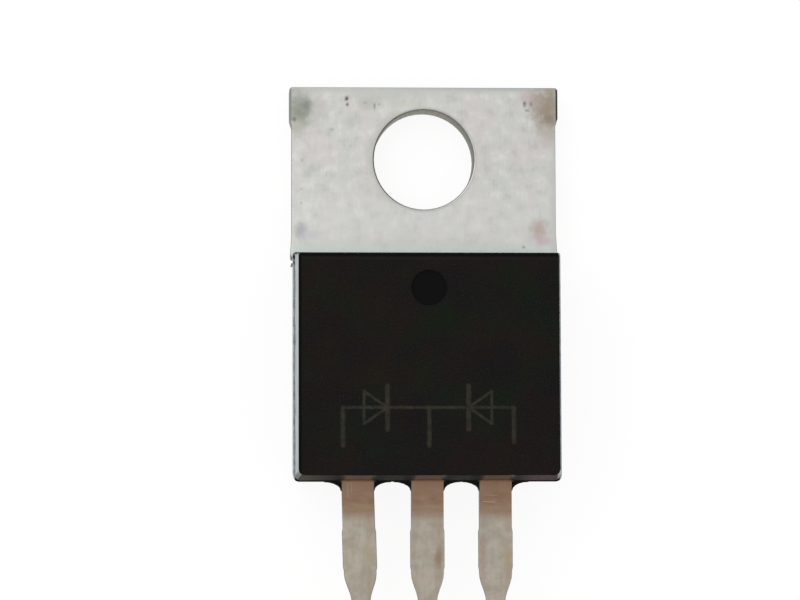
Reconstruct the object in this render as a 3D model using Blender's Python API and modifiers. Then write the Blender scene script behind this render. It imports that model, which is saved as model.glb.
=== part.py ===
"""Dual Schottky rectifier in a three-lead power package with a screw tab.

The part lies on its back: the tab's back face is at z = 0 and the moulding's front looks up.
The tab points to +Y and the leads to -Y. While the pieces are made, y = 0 is the moulding's
lead end and x = 0 the middle lead. At the end one empty moves them so that the origin is under
the middle of the whole part.
"""

import math

import bmesh
import bpy
import numpy as np
from mathutils import Vector

mm = 0.001

# Fit between pieces that touch
fit_gap = 0.01 * mm

# Screw tab, a thick copper stamping
tab_thickness = 1.27 * mm
tab_width = 10.08 * mm
tab_top = 15.0 * mm
tab_corner = 0.08 * mm
tab_edge_roll = 0.07 * mm
hole_diameter = 3.8 * mm
hole_rim_roll = 0.07 * mm
hole_from_top = 2.76 * mm

# Sides of the tab: a foot that flares out to the moulding, a shallow waist, and stubs where the
# strip of tabs was cut apart
foot_proud = 0.02 * mm
foot_height = 0.1 * mm
foot_flare = 0.8 * mm
waist_depth = 0.03 * mm
stub_proud = 0.06 * mm
stub_length = 1.1 * mm
stub_slope = 0.3 * mm
stub_from_top = 0.08 * mm

# Paddle, the part of the tab inside the moulding
paddle_inside_tab = 0.84 * mm
paddle_end = 2.4 * mm
shoulder_inset = 0.33 * mm
shoulder_slope = 0.06 * mm
side_notch_radius = 0.12 * mm
coined_step_width = 0.35 * mm
coined_step_height = 0.75 * mm
coined_step_from_shoulder = 0.3 * mm
groove_width = 0.36 * mm
groove_depth = 0.12 * mm
groove_from_shoulder = 0.5 * mm

# Leads
lead_pitch = 2.54 * mm
lead_thickness = 0.5 * mm
lead_back_height = 2.4 * mm
lead_length = 13.5 * mm
shoulder_width = 1.2 * mm
shoulder_below_dam_bar = 0.1 * mm
shoulder_taper = 1.05 * mm
pin_width = 0.69 * mm
dam_bar_from_body = 1.9 * mm
dam_bar_width = 1.3 * mm
dam_bar_proud = 0.03 * mm
dam_bar_slope = 0.15 * mm

# The left lead was knocked sideways and leans as far as the end of its taper
lean_angle = math.radians(1.6)
lean_start_shift = -0.06 * mm

# Bond posts at the inner ends of the outer leads
neck_length = 0.35 * mm
post_flare = 0.4 * mm
post_width = 2.5 * mm
post_length = 1.4 * mm
post_offset = 0.22 * mm
post_corner = 0.2 * mm
post_hole_diameter = 0.6 * mm

# Joggle that brings the middle lead up from the paddle
joggle_width = 2.2 * mm
joggle_overlap = 0.4 * mm
joggle_flare = 0.7 * mm
joggle_from_paddle_end = 0.15 * mm
strip_below_paddle_face = 0.03 * mm

# Dies and their solder
die_size = 2.4 * mm
die_thickness = 0.28 * mm
die_offset = 1.95 * mm
die_from_paddle_end = 2.6 * mm
die_pad_border = 0.15 * mm
die_pad_slope = 0.02 * mm
die_pad_rise = 0.01 * mm
solder_thickness = 0.05 * mm
solder_fillet = 0.15 * mm
solder_margin = 0.03 * mm

# Bond wires, two to each die; their feet are pressed flat
wire_diameter = 0.38 * mm
wire_foot_squash = 0.08 * mm
wire_spacing_on_die = 0.9 * mm
wire_spacing_on_post = 1.0 * mm
wire_foot_length = 0.7 * mm
wire_foot_from_post_end = 0.55 * mm
wire_loop_height = 1.15 * mm

# Moulding; its widest edge, the ledge at the parting line, lies a little inside the tab's sides
ledge_inside_tab = 0.03 * mm
body_length = 8.48 * mm
body_thickness = 4.5 * mm
body_draft = math.radians(5.1)
body_corner_at_leads = 0.22 * mm
body_corner_at_tab = 0.08 * mm
front_edge_round = 0.05 * mm
parting_ledge = 0.045 * mm
parting_above_leads = 0.08 * mm
back_half_taper = 0.03 * mm
back_half_inset = 0.2 * mm
ejector_mark_diameter = 1.3 * mm
ejector_mark_depth = 0.06 * mm
ejector_mark_from_end = 1.41 * mm

# Resin flash beside each lead where it leaves the moulding
flash_thickness = 0.3 * mm
flash_below_lead_front = 0.05 * mm
flash_spread = 0.62 * mm
flash_beside_lead = 0.03 * mm
flash_length = 0.37 * mm
flash_root_depth = 0.2 * mm

# Mesh fineness
hole_segments = 48
mark_segments = 40
post_hole_segments = 20
notch_segments = 6
roll_segments = 3
corner_segments = 3
flash_segments = 5
taper_steps = 6
wire_steps = 14
wire_side_resolution = 2
weld_distance = 1e-7
same_plane_limit = 1e-3
sharp_angle = math.radians(35)

# Heights and places worked out from the sizes above
tab_half = tab_width / 2
paddle_half = tab_half - paddle_inside_tab
ledge_half = tab_half - ledge_inside_tab
lead_front_height = lead_back_height + lead_thickness
body_top = body_length + parting_ledge
shoulder_y = body_top - shoulder_inset
hole_y = tab_top - hole_from_top
taper_top = -(dam_bar_from_body + dam_bar_width + dam_bar_slope + shoulder_below_dam_bar)
taper_bottom = taper_top - shoulder_taper
post_start = neck_length + post_flare
post_end = post_start + post_length
joggle_end = neck_length + joggle_flare
die_y = paddle_end + die_from_paddle_end
solder_base_height = tab_thickness + fit_gap
die_base_height = solder_base_height + solder_thickness + fit_gap
die_pad_height = die_base_height + die_thickness + die_pad_rise

for leftover in list(bpy.data.objects):
    bpy.data.objects.remove(leftover, do_unlink=True)

model = bpy.data.collections.new("schottky_rectifier")
cutters = bpy.data.collections.new("cutters")
bpy.context.scene.collection.children.link(model)
bpy.context.scene.collection.children.link(cutters)


def principled(name, colour, roughness, metallic):
    """Plain Principled material."""
    material = bpy.data.materials.new(name)
    material.use_nodes = True
    shader = material.node_tree.nodes["Principled BSDF"]
    shader.inputs["Base Color"].default_value = (*colour, 1.0)
    shader.inputs["Roughness"].default_value = roughness
    shader.inputs["Metallic"].default_value = metallic
    return material


def object_from_bmesh(name, bm):
    """Object in the model's collection that holds the given mesh."""
    mesh = bpy.data.meshes.new(name)
    bm.to_mesh(mesh)
    bm.free()
    obj = bpy.data.objects.new(name, mesh)
    model.objects.link(obj)
    return obj


def evaluated_mesh(obj):
    """Copy of an object's mesh with its modifiers applied."""
    depsgraph = bpy.context.evaluated_depsgraph_get()
    depsgraph.update()
    return bpy.data.meshes.new_from_object(obj.evaluated_get(depsgraph))


def object_from_curve(curve_obj, name):
    """Turn a curve object into a closed mesh object and remove the curve."""
    mesh = evaluated_mesh(curve_obj)
    mesh.name = name
    bm = bmesh.new()
    bm.from_mesh(mesh)
    bmesh.ops.remove_doubles(bm, verts=bm.verts, dist=weld_distance)
    bmesh.ops.recalc_face_normals(bm, faces=bm.faces)
    bm.to_mesh(mesh)
    bm.free()
    place = curve_obj.matrix_world.copy()
    bpy.data.objects.remove(curve_obj, do_unlink=True)
    obj = bpy.data.objects.new(name, mesh)
    obj.matrix_world = place
    model.objects.link(obj)
    return obj


def plate(name, outline, low, high, side_view=False):
    """Flat outline given a thickness.

    The outline lies in XY and is thickened from z = low to z = high. With side_view set it
    lies in YZ and is thickened along X.
    """
    curve = bpy.data.curves.new(name, "CURVE")
    curve.dimensions = "2D"
    curve.fill_mode = "BOTH"
    curve.extrude = (high - low) / 2
    spline = curve.splines.new("POLY")
    spline.points.add(len(outline) - 1)
    for point, (across, along) in zip(spline.points, outline):
        point.co = (across, along, 0.0, 1.0)
    spline.use_cyclic_u = True
    curve_obj = bpy.data.objects.new(name, curve)
    model.objects.link(curve_obj)
    middle = (low + high) / 2
    if side_view:
        curve_obj.rotation_euler = (math.radians(90), 0.0, math.radians(90))
        curve_obj.location.x = middle
    else:
        curve_obj.location.z = middle
    bpy.context.view_layer.update()
    return object_from_curve(curve_obj, name)


def tapered_block(name, x, low, high):
    """Block about a given x between two level rectangles.

    Each rectangle is given as (half width, y start, y end, z).
    """
    bm = bmesh.new()
    bmesh.ops.create_cube(bm, size=2.0)
    for vert in bm.verts:
        half_width, y_start, y_end, height = high if vert.co.z > 0 else low
        vert.co.x = x + half_width * vert.co.x
        vert.co.y = y_end if vert.co.y > 0 else y_start
        vert.co.z = height
    return object_from_bmesh(name, bm)


def box(name, low_corner, high_corner):
    """Rectangular box between two corners."""
    x_low, y_low, z_low = low_corner
    x_high, y_high, z_high = high_corner
    middle = (x_low + x_high) / 2
    half_width = (x_high - x_low) / 2
    return tapered_block(
        name, middle, (half_width, y_low, y_high, z_low), (half_width, y_low, y_high, z_high),
    )


def cylinder(name, diameter, low, high, centre, segments):
    """Upright cylinder about a centre given as (x, y)."""
    bm = bmesh.new()
    bmesh.ops.create_cone(
        bm, cap_ends=True, segments=segments,
        radius1=diameter / 2, radius2=diameter / 2, depth=high - low,
    )
    bmesh.ops.translate(bm, verts=bm.verts, vec=(centre[0], centre[1], (low + high) / 2))
    obj = object_from_bmesh(name, bm)
    obj.data.shade_smooth()
    obj.data.set_sharp_from_angle(angle=sharp_angle)
    return obj


def combine(obj, other, operation):
    """Boolean of an object with another, which becomes a cutter."""
    modifier = obj.modifiers.new(f"{operation.lower()} {other.name}", "BOOLEAN")
    modifier.operation = operation
    modifier.object = other
    modifier.solver = "EXACT"
    model.objects.unlink(other)
    cutters.objects.link(other)
    other.hide_render = True
    other.display_type = "WIRE"


def outward_move(vert, clearance):
    """Shortest move of a vertex that carries all the faces around it outwards alike."""
    normals = np.array([face.normal for face in vert.link_faces])
    distances = np.full(len(normals), clearance)
    move = np.linalg.lstsq(normals, distances, rcond=same_plane_limit)[0]
    return Vector(move)


def grown_copy(obj, clearance):
    """The object's finished shape with every face moved outwards by the clearance."""
    mesh = evaluated_mesh(obj)
    bm = bmesh.new()
    bm.from_mesh(mesh)
    bm.normal_update()
    moves = [outward_move(vert, clearance) for vert in bm.verts]
    for vert, move in zip(bm.verts, moves):
        vert.co += move
    bm.to_mesh(mesh)
    bm.free()
    grown = bpy.data.objects.new(obj.name + "_room", mesh)
    grown.matrix_world = obj.matrix_world.copy()
    model.objects.link(grown)
    return grown


def finish(obj, material, is_round=False):
    """Give a piece its material, and smooth shading if it is round.

    Flat pieces keep flat faces, and the round holes cut in them stay smooth.
    """
    obj.data.materials.clear()
    obj.data.materials.append(material)
    if is_round:
        obj.data.shade_smooth()
        obj.data.set_sharp_from_angle(angle=sharp_angle)
    else:
        obj.data.shade_flat()


def arc(centre, radius, start, end, steps):
    """Points on an arc from the start angle to the end angle, both in degrees."""
    points = []
    for step in range(steps + 1):
        angle = math.radians(start + (end - start) * step / steps)
        points.append((centre[0] + radius * math.cos(angle), centre[1] + radius * math.sin(angle)))
    return points


def mirrored(right_side):
    """Closed outline from its right side, listed from bottom to top."""
    left_side = [(-x, y) for x, y in reversed(right_side)]
    return right_side + left_side


def tab_outline():
    """Tab and paddle seen from the front."""
    foot_half = tab_half + foot_proud
    waist_half = tab_half - waist_depth
    stub_half = tab_half + stub_proud
    foot_high = body_top + foot_height
    stub_high = tab_top - stub_from_top
    stub_low = stub_high - stub_length
    notch_centre = (tab_half, (shoulder_y + shoulder_slope + body_top) / 2)
    right_side = [
        (paddle_half, paddle_end),
        (paddle_half, shoulder_y),
        (tab_half, shoulder_y + shoulder_slope),
        *arc(notch_centre, side_notch_radius, 270, 90, notch_segments),
        (foot_half, foot_high),
        (waist_half, foot_high + foot_flare),
        (waist_half, stub_low - stub_slope),
        (stub_half, stub_low),
        (stub_half, stub_high),
        (stub_half - tab_corner, tab_top),
    ]
    return mirrored(right_side)


def roll_front_edges(tab):
    """Round the front edges that stamping rolled over, outside the moulding only."""
    bm = bmesh.new()
    bm.from_mesh(tab.data)
    bmesh.ops.dissolve_limit(
        bm, angle_limit=math.radians(1), verts=bm.verts, edges=bm.edges,
    )
    rolled = []
    for edge in bm.edges:
        at_front = all(vert.co.z > 0 for vert in edge.verts)
        outside = all(vert.co.y > body_top - shoulder_inset / 2 for vert in edge.verts)
        if at_front and outside and edge.calc_face_angle(0) > math.radians(45):
            rolled.append(edge)
    bmesh.ops.bevel(
        bm, geom=rolled, offset=tab_edge_roll, segments=roll_segments, profile=0.5,
        affect="EDGES", clamp_overlap=True,
    )
    bm.to_mesh(tab.data)
    bm.free()


def hole_cutter():
    """Turned cutter for the screw hole, with the rolled rim of a punched hole at the front."""
    radius = hole_diameter / 2
    rim = radius + hole_rim_roll
    above = 2 * tab_thickness
    below = -tab_thickness
    profile = [(0.0, above), (rim, above)]
    for step in range(roll_segments + 1):
        angle = math.radians(90) * step / roll_segments
        profile.append((
            rim - hole_rim_roll * math.sin(angle),
            tab_thickness - hole_rim_roll + hole_rim_roll * math.cos(angle),
        ))
    profile += [(radius, below), (0.0, below)]
    mesh = bpy.data.meshes.new("screw_hole")
    edges = [(index, index + 1) for index in range(len(profile) - 1)]
    mesh.from_pydata([(across, 0.0, height) for across, height in profile], edges, [])
    cutter = bpy.data.objects.new("screw_hole", mesh)
    cutter.location = (0.0, hole_y, 0.0)
    model.objects.link(cutter)
    screw = cutter.modifiers.new("turn", "SCREW")
    screw.axis = "Z"
    screw.steps = hole_segments
    screw.render_steps = hole_segments
    screw.use_merge_vertices = True
    screw.merge_threshold = weld_distance
    return cutter


def cut_coined_steps(tab):
    """Step pressed into the paddle's back edges, which the moulding grips."""
    beyond = tab_width
    inner_half = paddle_half - coined_step_width
    far_end = paddle_end - beyond
    side_end = shoulder_y - coined_step_from_shoulder
    spans = {
        "left_coined_step": (-beyond, -inner_half, side_end),
        "right_coined_step": (inner_half, beyond, side_end),
        "end_coined_step": (-beyond, beyond, paddle_end + coined_step_width),
    }
    for name, (left, right, upper_end) in spans.items():
        step = box(
            name, (left, far_end, -tab_thickness), (right, upper_end, coined_step_height),
        )
        combine(tab, step, "DIFFERENCE")


def cut_groove(tab):
    """Groove across the paddle's front that keys the moulding to the metal."""
    centre = shoulder_y - groove_from_shoulder
    profile = [
        (centre - groove_width, tab_thickness + groove_depth),
        (centre, tab_thickness - groove_depth),
        (centre + groove_width, tab_thickness + groove_depth),
    ]
    groove = plate("paddle_groove", profile, -tab_width, tab_width, side_view=True)
    combine(tab, groove, "DIFFERENCE")


def lead_side():
    """(y, half width) down one side of a lead, from the moulding to the tip."""
    wide = shoulder_width / 2
    narrow = pin_width / 2
    bar_top = -dam_bar_from_body
    bar_bottom = bar_top - dam_bar_width
    rows = [
        (0.0, wide),
        (bar_top + dam_bar_slope, wide),
        (bar_top, wide + dam_bar_proud),
        (bar_bottom, wide + dam_bar_proud),
        (bar_bottom - dam_bar_slope, wide),
    ]
    for step in range(taper_steps + 1):
        share = step / taper_steps
        blend = share * share * (3 - 2 * share)
        rows.append((taper_top - shoulder_taper * share, wide + (narrow - wide) * blend))
    rows.append((-lead_length, narrow))
    return rows


def lean(y):
    """Sideways shift of the knocked lead at a given y."""
    leaning_run = min(max(-y, 0.0), -taper_bottom)
    return lean_start_shift + leaning_run * math.tan(lean_angle)


def lead_outline(x, inner_right, inner_left, leaning=False):
    """Lead seen from the front, between the two sides of its inner end."""
    right = []
    left = []
    for y, half in lead_side():
        middle = x + lean(y) if leaning else x
        right.append((middle + half, y))
        left.append((middle - half, y))
    return inner_right + right + left[::-1] + inner_left


def make_anode_lead(name, side, leaning, material):
    """Outer lead with its bond post and the post's lock hole."""
    x = side * lead_pitch
    post_x = x + side * post_offset
    post_right = post_x + post_width / 2
    post_left = post_x - post_width / 2
    neck_half = shoulder_width / 2
    inner_right = [
        (post_right - post_corner, post_end),
        (post_right, post_end - post_corner),
        (post_right, post_start),
        (x + neck_half, neck_length),
    ]
    inner_left = [
        (x - neck_half, neck_length),
        (post_left, post_start),
        (post_left, post_end - post_corner),
        (post_left + post_corner, post_end),
    ]
    outline = lead_outline(x, inner_right, inner_left, leaning)
    lead = plate(name, outline, lead_back_height, lead_front_height)
    lock_hole = cylinder(
        name + "_lock_hole", post_hole_diameter,
        lead_back_height - lead_thickness, lead_front_height + lead_thickness,
        (x, post_start), post_hole_segments,
    )
    combine(lead, lock_hole, "DIFFERENCE")
    finish(lead, material)
    return lead


def make_cathode_strip():
    """Middle lead with its joggle, from inside the paddle to the tip."""
    half = joggle_width / 2
    inside = paddle_end + joggle_overlap
    inner_right = [(half, inside), (half, joggle_end), (shoulder_width / 2, neck_length)]
    inner_left = [(-across, y) for across, y in reversed(inner_right)]
    outline = lead_outline(0.0, inner_right, inner_left)
    strip = plate("cathode_strip", outline, 0.0, body_thickness)

    rise_start = paddle_end - joggle_from_paddle_end
    low_face = tab_thickness - strip_below_paddle_face
    rise = lead_front_height - low_face
    slope_angle = math.atan2(rise, rise_start - joggle_end)
    bend_shift = lead_thickness * math.tan(slope_angle / 2)
    beyond_tip = -2 * lead_length
    side_profile = [
        (inside, low_face),
        (rise_start, low_face),
        (joggle_end, lead_front_height),
        (beyond_tip, lead_front_height),
        (beyond_tip, lead_back_height),
        (joggle_end - bend_shift, lead_back_height),
        (rise_start - bend_shift, low_face - lead_thickness),
        (inside, low_face - lead_thickness),
    ]
    bent_sheet = plate("bent_sheet", side_profile, -joggle_width, joggle_width, side_view=True)
    combine(strip, bent_sheet, "INTERSECT")
    return strip


def make_tab_lead_frame(material):
    """Tab, paddle and middle lead, one piece of metal."""
    tab = plate("tab_lead_frame", tab_outline(), 0.0, tab_thickness)
    roll_front_edges(tab)
    cut_coined_steps(tab)
    combine(tab, hole_cutter(), "DIFFERENCE")
    cut_groove(tab)
    combine(tab, make_cathode_strip(), "UNION")
    finish(tab, material)
    return tab


def make_solder(name, x, material):
    """Thin solder layer whose sides slope out to a fillet."""
    top_half = die_size / 2 + solder_margin
    base_half = top_half + solder_fillet
    solder_top_height = solder_base_height + solder_thickness
    solder = tapered_block(
        name, x,
        (base_half, die_y - base_half, die_y + base_half, solder_base_height),
        (top_half, die_y - top_half, die_y + top_half, solder_top_height),
    )
    finish(solder, material)
    return solder


def make_die(name, x, material):
    """Silicon die with its raised metal pad on top."""
    half = die_size / 2
    die = box(
        name,
        (x - half, die_y - half, die_base_height),
        (x + half, die_y + half, die_base_height + die_thickness),
    )
    bm = bmesh.new()
    bm.from_mesh(die.data)
    top = max(bm.faces, key=lambda face: face.calc_center_median().z)
    bmesh.ops.inset_region(bm, faces=[top], thickness=die_pad_border)
    bmesh.ops.inset_region(bm, faces=[top], thickness=die_pad_slope, depth=die_pad_rise)
    bm.to_mesh(die.data)
    bm.free()
    finish(die, material)
    return die


def wire_path(die_foot, post_foot):
    """Centre line from the tail on the die, over the loop, to the tail on the post."""
    along = (post_foot - die_foot).to_2d().normalized().to_3d()
    half_foot = along * wire_foot_length / 2
    start = die_foot + half_foot
    end = post_foot - half_foot
    points = [die_foot - half_foot]
    for step in range(wire_steps + 1):
        share = step / wire_steps
        climb = share * share * (3 - 2 * share)
        point = start.lerp(end, share)
        point.z = start.z + (end.z - start.z) * climb
        point.z += wire_loop_height * math.sin(math.pi * share) ** 2
        points.append(point)
    points.append(post_foot + half_foot)
    return points


def press_feet(wire, die_seat, post_seat, middle_y):
    """Flatten the underside of both feet on their seats."""
    for vert in wire.data.vertices:
        seat = die_seat if vert.co.y > middle_y else post_seat
        vert.co.z = max(vert.co.z, seat)


def make_wire(name, die_point, post_point, material):
    """Round wire between a point on the die's pad and a point on the post."""
    die_seat = die_pad_height + fit_gap
    post_seat = lead_front_height + fit_gap
    centre_above_seat = wire_diameter / 2 - wire_foot_squash
    die_foot = Vector((*die_point, die_seat + centre_above_seat))
    post_foot = Vector((*post_point, post_seat + centre_above_seat))
    points = wire_path(die_foot, post_foot)
    curve = bpy.data.curves.new(name, "CURVE")
    curve.dimensions = "3D"
    curve.bevel_depth = wire_diameter / 2
    curve.bevel_resolution = wire_side_resolution
    curve.use_fill_caps = True
    spline = curve.splines.new("POLY")
    spline.points.add(len(points) - 1)
    for spline_point, point in zip(spline.points, points):
        spline_point.co = (*point, 1.0)
    curve_obj = bpy.data.objects.new(name, curve)
    model.objects.link(curve_obj)
    wire = object_from_curve(curve_obj, name)
    press_feet(wire, die_seat, post_seat, (die_foot.y + post_foot.y) / 2)
    finish(wire, material, is_round=True)
    return wire


def make_wires(side, number, material):
    """The pair of wires from one die to its post."""
    die_x = side * die_offset
    post_x = side * (lead_pitch + post_offset)
    post_foot_y = post_end - wire_foot_from_post_end
    wires = []
    for letter, place in (("a", -0.5), ("b", 0.5)):
        wires.append(make_wire(
            f"bond_wire_{number}{letter}",
            (die_x + place * wire_spacing_on_die, die_y),
            (post_x + place * wire_spacing_on_post, post_foot_y),
            material,
        ))
    return wires


def drafted_half(name, low, high, front_round):
    """Tapered block of the moulding with rounded corners, and a rounded front if asked."""
    block = tapered_block(name, 0.0, low, high)
    top = high[3]
    middle_y = body_length / 2
    bm = bmesh.new()
    bm.from_mesh(block.data)
    for at_tab, corner in ((True, body_corner_at_tab), (False, body_corner_at_leads)):
        uprights = []
        for edge in bm.edges:
            start, end = (vert.co for vert in edge.verts)
            is_upright = abs(start.z - end.z) > fit_gap and abs(start.y - end.y) < middle_y
            if is_upright and (start.y > middle_y) == at_tab:
                uprights.append(edge)
        bmesh.ops.bevel(
            bm, geom=uprights, offset=corner, segments=corner_segments, profile=0.5,
            affect="EDGES",
        )
    if front_round > 0:
        front = [edge for edge in bm.edges if all(abs(v.co.z - top) < fit_gap for v in edge.verts)]
        bmesh.ops.bevel(
            bm, geom=front, offset=front_round, segments=corner_segments, profile=0.5,
            affect="EDGES",
        )
    bm.to_mesh(block.data)
    bm.free()
    return block


def flash_outline():
    """Web of resin about a lead, with hollow curves that run out along the lead's sides."""
    tip_half = shoulder_width / 2 + flash_beside_lead
    root_half = tip_half + flash_spread
    fall = flash_length - parting_ledge
    right_side = []
    for step in range(flash_segments + 1):
        angle = math.radians(90) * step / flash_segments
        right_side.append((
            root_half - flash_spread * math.cos(angle),
            -flash_length + fall * math.sin(angle),
        ))
    right_side.append((root_half, flash_root_depth))
    return mirrored(right_side)


def make_flash(number, x):
    """Thin web of resin that ran out beside a lead at a given x."""
    outline = [(x + across, y) for across, y in flash_outline()]
    top = lead_front_height - flash_below_lead_front
    return plate(f"flash_{number}", outline, top - flash_thickness, top)


def make_body(inserts, material):
    """Moulding in two drafted halves, with room for all that it holds."""
    parting = lead_front_height + parting_above_leads
    run = math.tan(body_draft) * (body_thickness - parting)
    half = ledge_half - parting_ledge
    body = drafted_half(
        "moulded_body",
        (ledge_half - back_half_taper, back_half_inset, body_top, 0.0),
        (ledge_half, -parting_ledge, body_top, parting),
        0.0,
    )
    front = drafted_half(
        "front_half",
        (half, 0.0, body_length, parting),
        (half - run, run, body_length - run, body_thickness),
        front_edge_round,
    )
    combine(body, front, "UNION")
    flash_places = (lean_start_shift - lead_pitch, 0.0, lead_pitch)
    for number, place in enumerate(flash_places, start=1):
        combine(body, make_flash(number, place), "UNION")
    mark = cylinder(
        "ejector_mark", ejector_mark_diameter,
        body_thickness - ejector_mark_depth, body_thickness + ejector_mark_depth,
        (0.0, body_length - ejector_mark_from_end), mark_segments,
    )
    combine(body, mark, "DIFFERENCE")
    for insert in inserts:
        combine(body, grown_copy(insert, fit_gap), "DIFFERENCE")
    finish(body, material)
    return body


def main():
    """Build every piece and set the origin under the middle of the part."""
    tinned_copper = principled("tinned_copper", (0.58, 0.57, 0.54), 0.4, 1.0)
    solder_alloy = principled("solder_alloy", (0.5, 0.5, 0.52), 0.45, 1.0)
    silicon = principled("silicon", (0.25, 0.26, 0.3), 0.25, 0.6)
    aluminium = principled("aluminium_wire", (0.8, 0.8, 0.81), 0.3, 1.0)
    epoxy = principled("epoxy_moulding", (0.012, 0.012, 0.011), 0.55, 0.0)

    inserts = [make_tab_lead_frame(tinned_copper)]
    for side, number in ((-1, 1), (1, 2)):
        inserts.append(make_anode_lead(f"anode_lead_{number}", side, side < 0, tinned_copper))
        inserts.append(make_solder(f"die_solder_{number}", side * die_offset, solder_alloy))
        inserts.append(make_die(f"schottky_die_{number}", side * die_offset, silicon))
        inserts.extend(make_wires(side, number, aluminium))
    make_body(inserts, epoxy)

    frame = bpy.data.objects.new("part_frame", None)
    model.objects.link(frame)
    frame.location.y = -(tab_top - lead_length) / 2
    for obj in list(model.objects) + list(cutters.objects):
        if obj is not frame:
            obj.parent = frame


main()
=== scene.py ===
"""Looks of the Schottky rectifier: finishes, marking, floor, light and camera.

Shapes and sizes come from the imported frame: the pieces that show are copies of its nodes with
clean flat faces and finely rounded edges. Materials work in millimetres in the part's frame.
"""

import math

import bmesh
import bpy
from mathutils import Matrix, Vector


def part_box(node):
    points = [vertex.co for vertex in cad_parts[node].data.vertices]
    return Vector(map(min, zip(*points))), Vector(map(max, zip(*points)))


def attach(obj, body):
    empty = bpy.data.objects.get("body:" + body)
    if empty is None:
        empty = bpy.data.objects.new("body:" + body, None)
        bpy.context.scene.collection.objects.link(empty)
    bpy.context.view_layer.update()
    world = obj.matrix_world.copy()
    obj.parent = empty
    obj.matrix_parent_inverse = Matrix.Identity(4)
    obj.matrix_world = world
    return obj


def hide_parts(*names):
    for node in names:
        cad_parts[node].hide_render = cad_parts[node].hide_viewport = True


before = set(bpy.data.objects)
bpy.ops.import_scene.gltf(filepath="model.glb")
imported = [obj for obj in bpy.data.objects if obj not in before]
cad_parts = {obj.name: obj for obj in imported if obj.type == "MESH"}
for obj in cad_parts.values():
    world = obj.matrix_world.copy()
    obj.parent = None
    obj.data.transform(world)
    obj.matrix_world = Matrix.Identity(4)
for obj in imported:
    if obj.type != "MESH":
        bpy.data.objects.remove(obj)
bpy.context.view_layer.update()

mm = 0.001

# Camera, measured from the photograph's perspective
camera_place = Vector((-7.79, -6.114, 140.709)) * mm
camera_yaw = math.radians(-2.819)
camera_pitch = math.radians(5.016)
camera_roll = math.radians(-0.171)
camera_clip_start = 1.0 * mm
focal_length_px = 3706.7
image_width_px = 800
sensor_width = 36.0

# Mesh fineness
weld_distance = 0.0005 * mm
same_height = 0.001 * mm
flat_angle = math.radians(0.4)
round_angle = math.radians(35)
metal_edge_round = 0.035 * mm
moulding_edge_round = 0.015 * mm
edge_segments = 3
flat_face_weight = 50

# Share of a face's normal above which the face counts as looking that way
facing_share = 0.5


def corners_mm(node_name):
    """Lowest and highest corner of a node, in millimetres."""
    low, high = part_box(node_name)
    return Vector(low) / mm, Vector(high) / mm


def front_face_mm(node_name):
    """Lowest and highest corner of a node's highest flat face, in millimetres."""
    points = [vertex.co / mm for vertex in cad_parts[node_name].data.vertices]
    top = max(point.z for point in points)
    face = [point for point in points if top - point.z < same_height / mm]
    low = Vector((min(point.x for point in face), min(point.y for point in face), top))
    high = Vector((max(point.x for point in face), max(point.y for point in face), top))
    return low, high


# Places read from the frame, in millimetres
tab_high = corners_mm("tab_lead_frame")[1]
front_low, front_high = front_face_mm("moulded_body")

# Places measured on the part, in millimetres
tab_half_width = 5.04
moulding_end_y = -0.75
parting_z = 2.98
lead_places = (-2.60, 0.0, 2.54)
ejector_mark = (0.0, 6.32)
hole_centre = (0.0, 11.49)
hole_radius = 1.9

# Noise mostly stays between these two values
noise_low = 0.3
noise_high = 0.7

# Where a blot starts and is full, as shares of its half size
blot_start = 1.40
blot_full = 0.10

# Where a stroke's edge starts and is full, as shares of its width
stroke_start = 0.72
stroke_full = 0.22

# Curve that turns the values of a screen into linear ones
screen_straight_end = 0.04045
screen_straight_slope = 12.92
screen_curve_shift = 0.055
screen_curve_power = 2.4


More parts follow.
